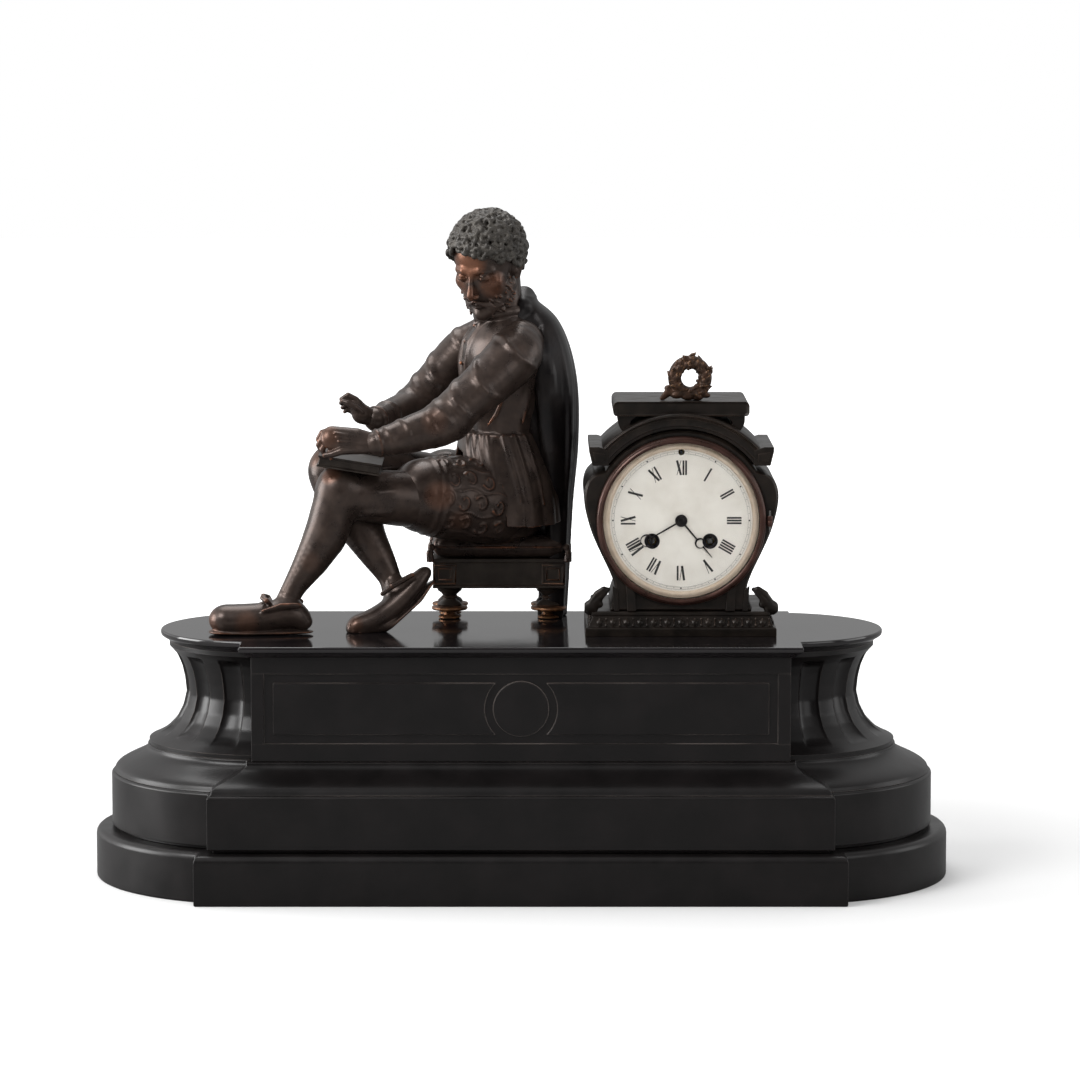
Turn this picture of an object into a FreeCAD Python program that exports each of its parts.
import FreeCAD, Part
import math
import os
import Sketcher

V = FreeCAD.Vector
UP = V(0, 0, 1)

# Slate plinth: a middle block that stands proud of two rounded ends
PLINTH = {
    "end_inset": 7.0,
    "slab_height": 28.0,
    "slab_end_radius": 100.0,
    "slab_half_width": 179.5,
    "slab_half_depth": 105.0,
    "slab_rounding": 4.0,
    "recess_height": 2.0,
    "recess_inset": 3.0,
    "step_height": 30.0,
    "step_end_radius": 91.0,
    "step_half_width": 172.4,
    "step_half_depth": 98.0,
    "moulding_height": 15.5,
    "moulding_run": 20.5,
    "die_height": 58.4,
    "die_half_width": 149.0,
    "die_front": 75.0,
    "die_back": 61.0,
    "die_front_thickness": 28.0,
    "die_back_thickness": 14.0,
    "drum_foot_radius": 69.5,
    "drum_neck_radius": 48.2,
    "drum_head_radius": 57.6,
    "drum_wall": 15.0,
    "flute_width": 12.0,
    "flute_depth": 2.4,
    "flute_margin": 6.0,
    "flute_step_angle": 27.0,
    "flute_count": 6,
    "panel_margin_side": 7.0,
    "panel_margin_bottom": 10.0,
    "panel_margin_top": 9.4,
    "panel_frame_width": 5.2,
    "panel_recess": 1.4,
    "roundel_outer_radius": 20.2,
    "roundel_inner_radius": 15.3,
    "plate_height": 6.5,
    "plate_end_radius": 62.5,
    "plate_half_width": 155.5,
    "plate_front": 82.0,
    "plate_back": 68.0,
    "plate_lip": 1.0,
    "plate_fillet_run": 5.0,
    "plate_fillet_height": 3.0,
}

# Iron rods that draw the bronzes and the slate together
RODS = {
    "rod_radius": 2.5,
    "rod_clearance": 0.2,
    "rod_engagement": 7.0,
    "rod_end_gap": 0.4,
    "rod_fit": 0.02,
    "nut_radius": 5.6,
    "nut_height": 4.5,
    "nut_pocket_radius": 7.5,
    "nut_pocket_depth": 8.0,
    "case_rod_offset": 40.0,
}

# Bronze group: every place and width of the figure is a share of its height
FIGURE = {
    "figure_height": 239.0,
    "figure_x": -10.0,
    "figure_y": 36.0,
    "cloak_gap": 0.3,
    "tablet_length": 36.0,
    "tablet_width": 44.0,
    "tablet_thickness": 6.5,
    "tablet_tilt_angle": 9.0,
}

STOOL = {
    "stool_x": -13.0,
    "stool_y": 46.0,
    "stool_half_width": 38.0,
    "stool_half_depth": 18.5,
    "stool_panel": 13.0,
    "stool_rail_recess": 1.2,
    "foot_inset": 9.5,
    "foot_disc_radius": 10.5,
    "foot_neck_radius": 3.6,
    "foot_head_radius": 7.4,
    "stool_frame_low_share": 0.077,
    "stool_frame_high_share": 0.148,
    "cushion_top_share": 0.205,
}

# Bronze clock case, measured from the axis of the dial
CASE = {
    "clock_x": 89.3,
    "dial_rise": 51.0,
    "case_half_depth": 36.0,
    "base_half_width": 53.4,
    "base_half_depth": 40.0,
    "base_foot_height": 5.0,
    "base_leaf_height": 8.8,
    "base_leaf_run": 4.0,
    "well_half_width": 33.0,
    "well_half_depth": 29.0,
    "well_head": 24.0,
    "scroll_half_width": 47.5,
    "scroll_height": 10.5,
    "waist_half_width": 39.5,
    "waist_drop": 38.0,
    "lobe_half_width": 54.2,
    "lobe_rise": 11.0,
    "lobe_top_half_width": 49.5,
    "lobe_top_rise": 26.0,
    "neck_inset": 8.5,
    "arch_radius": 50.5,
    "mouth_radius": 43.6,
    "hood_thickness": 9.4,
    "hood_fit": 0.1,
    "hood_proud": 2.0,
    "hood_spread_angle": 52.0,
    "shoulder_half_width": 51.5,
    "shoulder_width": 11.0,
    "shoulder_low": 31.0,
    "shoulder_height": 10.5,
    "cap_half_width": 38.0,
    "cap_half_depth": 33.0,
    "cap_seat": 2.0,
    "cap_height": 8.3,
    "cap_bracket_height": 10.0,
    "cap_bracket_width": 9.0,
    "cap_bracket_inset": 2.5,
    "wreath_x": 3.4,
    "wreath_y": -22.0,
    "wreath_rise": 10.5,
    "wreath_radius": 8.2,
    "wreath_band": 3.4,
    "wreath_thickness": 3.6,
    "wreath_leaf": 4.6,
    "wreath_leaf_width": 2.1,
}

# Dial, glass and hands
DIAL = {
    "dial_radius": 42.6,
    "dial_thickness": 1.2,
    "dial_foot_radius": 1.6,
    "dial_foot_circle": 33.0,
    "sight_radius": 39.9,
    "sight_ring_fit": 0.1,
    "sight_ring_height": 1.2,
    "bezel_radius": 47.4,
    "bezel_inner_radius": 43.8,
    "bezel_height": 5.0,
    "bezel_gap": 0.3,
    "bezel_lip": 1.2,
    "glass_radius": 45.0,
    "glass_fit": 0.1,
    "glass_thickness": 1.6,
    "centre_hole_radius": 3.2,
    "winding_hole_radius": 3.6,
    "winding_offset": 16.2,
    "winding_drop": 11.6,
    "regulator_rise": 38.4,
    "regulator_hole_radius": 1.8,
    "regulator_radius": 0.7,
    "regulator_depth": 4.0,
    "square_recess": 0.4,
    "hand_thickness": 0.5,
    "hand_gap": 0.6,
    "minute_hand_length": 33.5,
    "minute_moon_distance": 22.2,
    "minute_moon_radius": 3.6,
    "hour_hand_length": 27.0,
    "hour_moon_distance": 16.5,
    "hour_moon_radius": 3.0,
    "moon_width": 0.9,
    "moon_shift": 0.5,
    "hand_root_width": 2.0,
    "hand_tip_width": 0.6,
    "hand_boss_radius": 3.4,
    "minute_angle": 240.0,
    "hour_angle": 140.0,
    "hinge_reach": 1.9,
    "hinge_radius": 1.6,
    "hinge_half_length": 3.0,
    "hinge_lug": 2.9,
    "hinge_end_gap": 0.1,
    "hinge_web": 1.2,
    "hinge_root": 1.2,
    "hinge_pin_radius": 0.7,
    "hinge_running_clearance": 0.05,
    "back_ring_inner": 41.5,
    "back_ring_radius": 47.0,
    "back_ring_height": 3.0,
    "door_radius": 44.5,
    "door_thickness": 1.6,
    "door_gap": 0.3,
    "strap_half_width": 3.5,
    "strap_thickness": 1.4,
    "strap_place": 41.6,
}

# Round two-plate movement, measured from the axis of the dial
MOVEMENT = {
    "plate_radius": 36.5,
    "movement_plate": 2.0,
    "motion_space": 6.4,
    "plate_spacing": 24.0,
    "pillar_radius": 2.2,
    "pillar_circle": 32.0,
    "arbor_radius": 0.4,
    "pivot_clearance": 0.05,
    "barrel_arbor_radius": 1.9,
    "barrel_clearance": 0.06,
    "winding_square": 2.4,
    "barrel_drum_radius": 13.2,
    "barrel_drum_length": 12.4,
    "wheel_thickness": 0.9,
    "great_wheel_thickness": 1.6,
    "pinion_length": 2.2,
    "barrel_module": 0.8,
    "second_module": 0.5,
    "fine_module": 0.30,
    "cannon_module": 0.5,
    "hour_module": 0.4,
    "barrel_teeth": 36,
    "second_teeth": 48,
    "fine_teeth": 72,
    "escape_teeth": 42,
    "minute_wheel_teeth": 18,
    "hour_wheel_teeth": 24,
    "pinion_leaves": 6,
    "centre_layer": 0.6,
    "barrel_layer": 3.2,
    "escape_layer": 12.2,
    "third_layer": 18.2,
    "second_layer": 20.6,
    "cannon_layer": 1.0,
    "hour_layer": 3.8,
    "cannon_pipe_radius": 1.5,
    "hour_pipe_radius": 2.5,
    "hour_pipe_clearance": 0.1,
    "stud_radius": 0.4,
    "escape_radius": 8.0,
    "escape_tooth": 1.1,
    "pallet_rise": 32.5,
    "pallet_thickness": 2.0,
    "pallet_layer": 11.7,
    "crutch_length": 26.0,
    "crutch_width": 1.6,
    "crutch_thickness": 1.0,
    "crutch_gap": 1.6,
    "crutch_reach": 7.6,
    "fork_clearance": 0.15,
    "fork_width": 0.8,
    "fork_height": 2.0,
    "pendulum_length": 80.0,
    "pendulum_rod_radius": 0.9,
    "pendulum_plane": 6.2,
    "bob_radius": 11.5,
    "bob_thickness": 6.0,
    "rating_nut_radius": 2.2,
    "rating_nut_height": 2.0,
    "rating_nut_gap": 0.3,
    "rod_tail": 1.0,
    "cock_width": 7.0,
    "cock_height": 6.9,
    "cock_depth": 9.0,
    "cock_rise": 1.1,
    "spring_width": 5.0,
    "spring_thickness": 0.3,
    "spring_gap": 0.3,
    "bell_radius": 24.0,
    "bell_depth": 12.0,
    "bell_wall": 1.2,
    "bell_crown_radius": 15.0,
    "bell_space": 12.7,
    "bell_stud_radius": 1.5,
    "bell_stud_fit": 0.05,
    "bell_nut_radius": 3.0,
    "bell_nut_height": 1.6,
    "bell_post_radius": 2.0,
    "bell_bar_width": 5.0,
    "bell_bar_thickness": 1.6,
    "bell_bar_gap": 0.5,
    "bell_post_x": 17.0,
    "bell_post_rise": 14.0,
    "hammer_x": 27.0,
    "hammer_drop": 19.0,
    "hammer_head_radius": 2.6,
    "hammer_head_length": 7.0,
    "hammer_gap": 0.5,
    "hammer_rod_radius": 0.7,
    "hammer_layer": 15.2,
    "cut_overrun": 2.0,
    "facet_depth": 0.08,
}

# Outline of one pointed wheel tooth and one pinion leaf, as shares of pitch and module
TOOTH_ROOT_SHARE = 0.36
LEAF_ROOT_SHARE = 0.24
LEAF_TIP_SHARE = 0.10
WHEEL_ADDENDUM_SHARE = 1.05
WHEEL_DEDENDUM_SHARE = 1.25
LEAF_ADDENDUM_SHARE = 0.70
LEAF_DEDENDUM_SHARE = 1.45

FINE_ROOT_SHARE = 0.5
FINE_ADDENDUM_SHARE = 0.45
ESCAPE_RAKE_SHARE = 0.75
WREATH_LEAF_SLANT_SHARE = 0.45
BELL_SHARES = [(0.0, 1.0), (0.5, 0.83), (1.0, 0.0)]
PILLAR_ANGLES = (20, 65, 160, 270)
DIAL_FOOT_ANGLES = (45, 135, 225, 315)

# How many flat sides the cast forms are given all round
BELL_SIDES = 28
TORSO_SIDES = 16
LIMB_SIDES = 12
END_SIDES = 48
LEAST_SIDES = 8
FINGER_SIDES = 8
CLOAK_SIDES = 20

doc = FreeCAD.newDocument("figural_clock")
sheet = doc.addObject("Spreadsheet::Sheet", "sizes")
row = 0
for group in (PLINTH, RODS, FIGURE, STOOL, CASE, DIAL, MOVEMENT):
    for alias, number in group.items():
        row = row + 1
        sheet.set("A%d" % row, alias)
        sheet.set("B%d" % row, str(number))
        sheet.setAlias("B%d" % row, alias)
doc.recompute()


class Measure:
    """A size from the sheet, or a sum of such sizes: its formula and its value."""

    def __init__(self, formula, value):
        self.formula = formula
        self.value = float(value)

    @staticmethod
    def of(other):
        if isinstance(other, Measure):
            return other
        return Measure(repr(other), other)

    def __add__(self, other):
        other = Measure.of(other)
        return Measure("(%s + %s)" % (self.formula, other.formula), self.value + other.value)

    def __sub__(self, other):
        other = Measure.of(other)
        return Measure("(%s - %s)" % (self.formula, other.formula), self.value - other.value)

    def __mul__(self, other):
        other = Measure.of(other)
        return Measure("(%s * %s)" % (self.formula, other.formula), self.value * other.value)

    def __truediv__(self, other):
        other = Measure.of(other)
        return Measure("(%s / %s)" % (self.formula, other.formula), self.value / other.value)

    def __neg__(self):
        return Measure("(-1 * %s)" % self.formula, -self.value)


class Sizes:
    """Reads any cell of the sheet as a Measure, by its alias."""

    def __getattr__(self, alias):
        return Measure("sizes." + alias, sheet.get(alias))


S = Sizes()
SUBPARTS = []


def value(measure):
    return Measure.of(measure).value


def bind(piece, path, measure):
    piece.setExpression(path, Measure.of(measure).formula)


def put(piece, x=0, y=0, z=0, turn=None):
    if turn is not None:
        piece.Placement = FreeCAD.Placement(V(0, 0, 0), turn)
    bind(piece, "Placement.Base.x", x)
    bind(piece, "Placement.Base.y", y)
    bind(piece, "Placement.Base.z", z)
    return piece


ALONG_Y = FreeCAD.Rotation(V(1, 0, 0), -90)


def box(label, length, width, height, x=0, y=0, z=0):
    piece = doc.addObject("Part::Box", label)
    bind(piece, "Length", length)
    bind(piece, "Width", width)
    bind(piece, "Height", height)
    return put(piece, x, y, z)


def flat_sides(radius):
    """How many flat sides a round piece needs for its flats to lie facet_depth inside the circle."""
    chords = math.pi / math.sqrt(2 * value(S.facet_depth) / value(radius))
    return max(LEAST_SIDES, 4 * math.ceil(chords / 4))


def around(radius):
    """Corner radius of a bore whose flats lie on the circle of the given radius."""
    return radius / math.cos(math.pi / flat_sides(radius))


def cylinder(label, radius, height, x=0, y=0, z=0, turn=None):
    piece = doc.addObject("Part::Prism", label)
    piece.Polygon = flat_sides(radius)
    bind(piece, "Circumradius", radius)
    bind(piece, "Height", height)
    return put(piece, x, y, z, turn)


def fuse(label, pieces):
    joined = doc.addObject("Part::MultiFuse", label)
    joined.Shapes = pieces
    joined.Refine = True
    return joined


def cut(label, base, tools):
    cutter = tools[0]
    if len(tools) > 1:
        cutter = fuse(label + "_cutter", tools)
    result = doc.addObject("Part::Cut", label)
    result.Base = base
    result.Tool = cutter
    result.Refine = True
    return result


def form(label, shape):
    piece = doc.addObject("Part::Feature", label)
    piece.Shape = shape
    return piece


def subpart(piece, label=None):
    if label is not None:
        piece.Label = label
    SUBPARTS.append(piece)
    return piece


def body_plane(body, role):
    return [item for item in body.Origin.OriginFeatures if item.Role == role][0]


def new_sketch(body, name, role="XZ_Plane"):
    sketch = body.newObject("Sketcher::SketchObject", name)
    sketch.AttachmentSupport = [(body_plane(body, role), "")]
    sketch.MapMode = "FlatFace"
    return sketch


def fix_point(sketch, edge, point, x, y):
    for kind, measure in (("DistanceX", Measure.of(x)), ("DistanceY", Measure.of(y))):
        index = sketch.addConstraint(Sketcher.Constraint(kind, -1, 1, edge, point, measure.value))
        if measure.value != 0:
            sketch.setExpression("Constraints[%d]" % index, measure.formula)


def draw_polygon(sketch, corners):
    first = sketch.GeometryCount
    spots = [V(value(x), value(y), 0) for x, y in corners]
    count = len(spots)
    for index in range(count):
        sketch.addGeometry(Part.LineSegment(spots[index], spots[(index + 1) % count]), False)
    for index in range(count):
        follower = first + (index + 1) % count
        sketch.addConstraint(Sketcher.Constraint("Coincident", first + index, 2, follower, 1))
    for index in range(count):
        fix_point(sketch, first + index, 1, corners[index][0], corners[index][1])


def draw_rectangle(sketch, left, low, right, high):
    draw_polygon(sketch, [(left, low), (right, low), (right, high), (left, high)])


def draw_circle(sketch, x, y, radius):
    edge = sketch.addGeometry(Part.Circle(V(value(x), value(y), 0), V(0, 0, 1), value(radius)), False)
    index = sketch.addConstraint(Sketcher.Constraint("Radius", edge, value(radius)))
    sketch.setExpression("Constraints[%d]" % index, Measure.of(radius).formula)
    fix_point(sketch, edge, 3, x, y)


def pad(body, sketch, length, backwards=False):
    feature = body.newObject("PartDesign::Pad", sketch.Name + "_pad")
    feature.Profile = sketch
    feature.Reversed = backwards
    bind(feature, "Length", length)
    return feature


def pocket(body, sketch, depth, backwards=False):
    feature = body.newObject("PartDesign::Pocket", sketch.Name + "_pocket")
    feature.Profile = sketch
    feature.Reversed = backwards
    bind(feature, "Length", depth)
    return feature


def new_body(label, x=0, y=0, z=0):
    body = doc.addObject("PartDesign::Body", label)
    return put(body, x, y, z)


# Heights of the plinth, from the floor up
step_low = S.slab_height + S.recess_height
step_high = step_low + S.step_height
die_low = step_high + S.moulding_height
die_high = die_low + S.die_height
end_centre = S.die_half_width - S.end_inset
plinth_top = die_high + S.plate_height

case_floor = plinth_top + S.base_foot_height + S.base_leaf_height
dial_z = case_floor + S.dial_rise
hood_radius = S.arch_radius + S.hood_fit + S.hood_thickness
cap_low = hood_radius - S.cap_seat

# Depths of the clock, from the dial back to the bell
case_front = -S.case_half_depth
dial_face = case_front + S.sight_ring_height
dial_back = dial_face + S.dial_thickness
plate_front = dial_back + S.motion_space
train_front = plate_front + S.movement_plate
train_back = train_front + S.plate_spacing
plate_back = train_back + S.movement_plate
pendulum_y = plate_back + S.pendulum_plane
bell_mouth = plate_back + S.bell_space


def faced_stack(rings):
    """Solid with flat faces through rings of corners; like edges of two rings run parallel."""
    faces = [Part.Face(Part.makePolygon(rings[0] + rings[0][:1]))]
    for low, high in zip(rings, rings[1:]):
        for side in range(len(low)):
            after = (side + 1) % len(low)
            outline = [low[side], low[after], high[after], high[side], low[side]]
            faces.append(Part.Face(Part.makePolygon(outline)))
    faces.append(Part.Face(Part.makePolygon(rings[-1] + rings[-1][:1])))
    solid = Part.Solid(Part.Shell(faces))
    if solid.Volume < 0:
        solid.reverse()
    return solid


def ring(centre, radius, side, front, flatness, sides, folds=0, fold_share=0.0):
    """Corners of one section: half as wide as radius, flattened, with folds round its edge."""
    corners = []
    for index in range(sides):
        turn = 2 * math.pi * index / sides
        reach = radius * (1 + fold_share * math.cos(folds * turn))
        corners.append(centre + side * (reach * math.cos(turn)) + front * (reach * flatness * math.sin(turn)))
    return corners


def rectangle_ring(level):
    height, radius, half_width, front, back = level
    return [V(-half_width, -front, height), V(half_width, -front, height),
            V(half_width, back, height), V(-half_width, back, height)]


def turned_end(levels, side):
    rings = []
    for level in levels:
        centre = V(side * value(end_centre), 0, level[0])
        rings.append(ring(centre, level[1], V(1, 0, 0), V(0, 1, 0), 1, END_SIDES))
    return faced_stack(rings)


def block_with_ends(levels):
    """Levels of (height, end radius, half width, front, back), moulded alike all round."""
    block = faced_stack([rectangle_ring(level) for level in levels])
    ends = [turned_end(levels, side) for side in (-1, 1)]
    return block.fuse(ends).removeSplitter()


def grown(level, height, amount):
    return (height,) + tuple(edge + amount for edge in level[1:])


# Places where the rods run up through the slate
stool_left = S.stool_x - S.stool_half_width
stool_front = S.stool_y - S.stool_half_depth
foot_places = []
for across in (-1, 1):
    for deep in (-1, 1):
        foot_places.append((S.stool_x + (S.stool_half_width - S.foot_inset) * across,
                            S.stool_y + (S.stool_half_depth - S.foot_inset) * deep))
rod_places = [foot_places[0], (S.clock_x + S.case_rod_offset, Measure.of(0))]


def post(x, y, radius, low, high):
    """An upright round piece with flat sides, from one height to another."""
    corners = ring(V(x, y, low), radius, V(1, 0, 0), V(0, 1, 0), 1, flat_sides(radius))
    return Part.Face(Part.makePolygon(corners + corners[:1])).extrude(V(0, 0, high - low))


def rod_holes(shape, low, high):
    """Bores the rods' clearance holes through a slate course between two heights."""
    for x, y in rod_places:
        reach = value(S.cut_overrun)
        shape = shape.cut(post(value(x), value(y), around(value(S.rod_radius + S.rod_clearance)),
                               low - reach, high + reach))
    return shape


def make_plinth():
    slab = (0, value(S.slab_end_radius), value(S.slab_half_width),
            value(S.slab_half_depth), value(S.slab_half_depth))
    rounding = value(S.slab_rounding)
    slab_top = value(S.slab_height)
    levels = [slab]
    chords = 1
    for step in range(chords + 1):
        angle = math.radians(90 * step / chords)
        inset = rounding * (1 - math.cos(angle))
        levels.append(grown(slab, slab_top - rounding + rounding * math.sin(angle), -inset))
    solid = rod_holes(block_with_ends(levels), 0, slab_top)
    for x, y in rod_places:
        solid = solid.cut(post(value(x), value(y), value(S.nut_pocket_radius), 0, value(S.nut_pocket_depth)))
    subpart(form("base_slab", solid))

    step = (value(step_low), value(S.step_end_radius), value(S.step_half_width),
            value(S.step_half_depth), value(S.step_half_depth))
    inset = value(S.recess_inset)
    levels = [grown(step, slab_top, -inset), grown(step, value(step_low), -inset)]
    foot = block_with_ends(levels)
    solid = foot.fuse(block_with_ends([step, grown(step, value(step_high), 0)])).removeSplitter()
    subpart(form("base_step", rod_holes(solid, slab_top, value(step_high))))

    # Cyma: rises steeply, rolls over and falls back to a flat run under the die
    run = value(S.moulding_run)
    height = value(S.moulding_height)
    cyma_shares = [(0.0, 0.06), (0.30, 0.20), (0.58, 0.48), (0.80, 0.80), (1.0, 1.0)]
    levels = []
    for rise_share, run_share in cyma_shares:
        levels.append(grown(step, value(step_high) + height * rise_share, -run * run_share))
    solid = block_with_ends(levels)
    subpart(form("base_moulding", rod_holes(solid, value(step_high), value(die_low))))

    make_drums()
    make_panels()

    plate = (value(plinth_top), value(S.plate_end_radius), value(S.plate_half_width),
             value(S.plate_front), value(S.plate_back))
    lip = value(S.plate_lip)
    fillet_low = value(die_high)
    fillet_high = fillet_low + value(S.plate_fillet_height)
    levels = [grown(plate, fillet_low, -value(S.plate_fillet_run)),
              grown(plate, fillet_high, -lip), grown(plate, fillet_high + lip, 0),
              grown(plate, value(plinth_top), 0)]
    solid = block_with_ends(levels)
    subpart(form("top_slab", rod_holes(solid, fillet_low, value(plinth_top))))


def drum_profile():
    """Radius at each height of a rounded die end, from its spreading foot to its head."""
    foot = value(S.drum_foot_radius)
    neck = value(S.drum_neck_radius)
    head = value(S.drum_head_radius)
    low = value(die_low)
    tall = value(S.die_height)
    foot_shares = [(0.0, 1.0), (0.10, 0.76), (0.22, 0.36), (0.46, 0.05)]
    head_shares = [(0.80, 0.03), (0.91, 0.38), (1.0, 1.0)]
    profile = [(low + tall * rise, neck + (foot - neck) * spread) for rise, spread in foot_shares]
    return profile + [(low + tall * rise, neck + (head - neck) * spread) for rise, spread in head_shares]


def make_drums():
    profile = drum_profile()
    inner_x = value(S.die_half_width - S.drum_wall)
    reach = value(S.cut_overrun)
    low = value(die_low)
    tall = value(S.die_height)
    depth = value(S.flute_depth)
    width = value(S.flute_width)
    for side, label in ((-1, "drum_left"), (1, "drum_right")):
        drum = turned_end(profile, side)
        spread = value(S.drum_foot_radius) + reach
        keep_low = inner_x if side > 0 else -value(end_centre) - spread
        keep = Part.makeBox(value(end_centre) + spread - inner_x, 2 * spread, tall,
                            V(keep_low, -spread, low))
        drum = drum.common(keep)
        flutes = []
        centre = V(side * value(end_centre), 0, 0)
        for index in range(int(value(S.flute_count))):
            angle = (index - (value(S.flute_count) - 1) / 2) * value(S.flute_step_angle)
            if side < 0:
                angle = 180 - angle
            flutes.append(flute_cutter(profile, depth, width, centre, angle))
        for cutter in flutes:
            drum = drum.cut(cutter)
        for front, back in ((value(S.die_front), value(S.die_front_thickness)),
                            (-value(S.die_back) + value(S.die_back_thickness), value(S.die_back_thickness))):
            wall = Part.makeBox(2 * value(S.die_half_width), back, tall,
                                V(-value(S.die_half_width), -front, low))
            drum = drum.cut(wall)
        drum = rod_holes(drum, low, low + tall)
        subpart(form(label, drum.removeSplitter()))


def flute_cutter(profile, depth, width, centre, angle):
    """An upright slot between two radial walls, whose floor follows the drum's hollow profile."""
    outside = value(S.drum_foot_radius) + value(S.cut_overrun)
    low = value(die_low) + value(S.flute_margin)
    high = value(die_high) - value(S.flute_margin)
    inside = [(low, radius_at(profile, low))]
    inside = inside + [(height, radius) for height, radius in profile if low < height < high]
    inside = inside + [(high, radius_at(profile, high))]
    floor = [V(radius - depth, 0, height) for height, radius in inside]
    outline = floor + [V(outside, 0, high), V(outside, 0, low)]
    spread = math.degrees(width / value(S.drum_neck_radius))
    walls = []
    for edge in (angle - spread / 2, angle + spread / 2):
        turn = FreeCAD.Rotation(UP, edge)
        walls.append([turn.multVec(corner) + centre for corner in outline])
    return faced_stack(walls)


def radius_at(profile, height):
    for (low, low_radius), (high, high_radius) in zip(profile, profile[1:]):
        if low <= height <= high:
            return low_radius + (high_radius - low_radius) * (height - low) / (high - low)
    return profile[-1][1]


def make_panels():
    front = new_body("front_panel", 0, -S.die_front + S.die_front_thickness, 0)
    slab = new_sketch(front, "front_block")
    draw_rectangle(slab, -S.die_half_width, die_low, S.die_half_width, die_high)
    pad(front, slab, S.die_front_thickness)
    frame = new_sketch(front, "panel_frame")
    side = S.die_half_width - S.panel_margin_side
    low = die_low + S.panel_margin_bottom
    high = die_high - S.panel_margin_top
    draw_rectangle(frame, -side, low, side, high)
    draw_rectangle(frame, -side + S.panel_frame_width, low + S.panel_frame_width,
                   side - S.panel_frame_width, high - S.panel_frame_width)
    bind(frame, "AttachmentOffset.Base.z", S.die_front_thickness)
    pocket(front, frame, S.panel_recess)
    ring = new_sketch(front, "roundel_ring")
    middle = (low + high) / 2
    draw_circle(ring, 0, middle, S.roundel_outer_radius)
    draw_circle(ring, 0, middle, S.roundel_inner_radius)
    bind(ring, "AttachmentOffset.Base.z", S.die_front_thickness)
    pocket(front, ring, S.panel_recess)
    subpart(front)

    back = new_body("back_panel", 0, S.die_back, 0)
    slab = new_sketch(back, "back_block")
    draw_rectangle(slab, -S.die_half_width, die_low, S.die_half_width, die_high)
    pad(back, slab, S.die_back_thickness)
    subpart(back)


def make_rods():
    rods = []
    for index, (x, y) in enumerate(rod_places):
        nut_low = S.nut_pocket_depth - S.nut_height
        top = plinth_top + S.rod_engagement
        rod = cylinder("rod_%d" % index, S.rod_radius, top - nut_low, x, y, nut_low)
        nut = doc.addObject("Part::Prism", "nut_%d" % index)
        nut.Polygon = 6
        bind(nut, "Circumradius", S.nut_radius)
        bind(nut, "Height", S.nut_height)
        put(nut, x, y, nut_low)
        rods.append(fuse("rod_with_nut_%d" % index, [rod, nut]))
    group = doc.addObject("Part::Compound", "tie_rods")
    group.Links = rods
    subpart(group)


# Bronze group, built from many-sided sections that swell and taper
figure_origin = V(value(S.figure_x), value(S.figure_y), value(plinth_top))
figure_size = value(S.figure_height)
FACING = V(-0.94, -0.34, 0)
NEAR_SIDE = V(0.34, -0.94, 0)


def spot(x_share, y_share, z_share):
    return figure_origin + V(x_share, y_share, z_share) * figure_size


def stack(stations, axis, side, flatness, sides=LIMB_SIDES, folds=0, fold_share=0.0):
    """A tapering form through parallel sections; stations are (x, y, z, half width) shares."""
    axis = V(axis).normalize()
    side = (V(side) - axis * side.dot(axis)).normalize()
    front = axis.cross(side)
    rings = []
    for x_share, y_share, z_share, size_share in stations:
        rings.append(ring(spot(x_share, y_share, z_share), size_share * figure_size,
                          side, front, flatness, sides, folds, fold_share))
    return faced_stack(rings)


def main_solid(shape):
    return max(shape.Solids, key=lambda solid: solid.Volume)


def above_plinth(shape):
    """Flattens the underside of a foot or a hem where it stands on the slab."""
    reach = figure_size
    corner = figure_origin + V(-reach, -reach, 0)
    return main_solid(shape.common(Part.makeBox(2 * reach, 2 * reach, 2 * reach, corner)))


def make_stool():
    low = S.figure_height * S.stool_frame_low_share
    high = S.figure_height * S.stool_frame_high_share
    floor = plinth_top + low
    frame = new_body("stool_frame", S.stool_x, S.stool_y + S.stool_half_depth, floor)
    side = new_sketch(frame, "stool_box")
    draw_rectangle(side, -S.stool_half_width, 0, S.stool_half_width, high - low)
    pad(frame, side, S.stool_half_depth * 2)
    rails = new_sketch(frame, "front_rail")
    draw_rectangle(rails, -S.stool_half_width + S.stool_panel, S.stool_rail_recess * 2,
                   S.stool_half_width - S.stool_panel, high - low - S.stool_rail_recess * 2)
    bind(rails, "AttachmentOffset.Base.z", S.stool_half_depth * 2)
    pocket(frame, rails, S.stool_rail_recess)
    back = new_sketch(frame, "back_rail")
    draw_rectangle(back, -S.stool_half_width + S.stool_panel, S.stool_rail_recess * 2,
                   S.stool_half_width - S.stool_panel, high - low - S.stool_rail_recess * 2)
    pocket(frame, back, S.stool_rail_recess, True)
    subpart(frame)

    feet = []
    for index, (x, y) in enumerate(foot_places):
        foot = turned_foot(value(x), value(y))
        if index == 0:
            foot = foot.cut(post(value(x), value(y), around(value(S.rod_radius + S.rod_fit)),
                                 value(plinth_top), value(plinth_top + S.rod_engagement + S.rod_end_gap)))
        feet.append(foot)
    subpart(form("stool_feet", Part.makeCompound(feet)))


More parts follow.
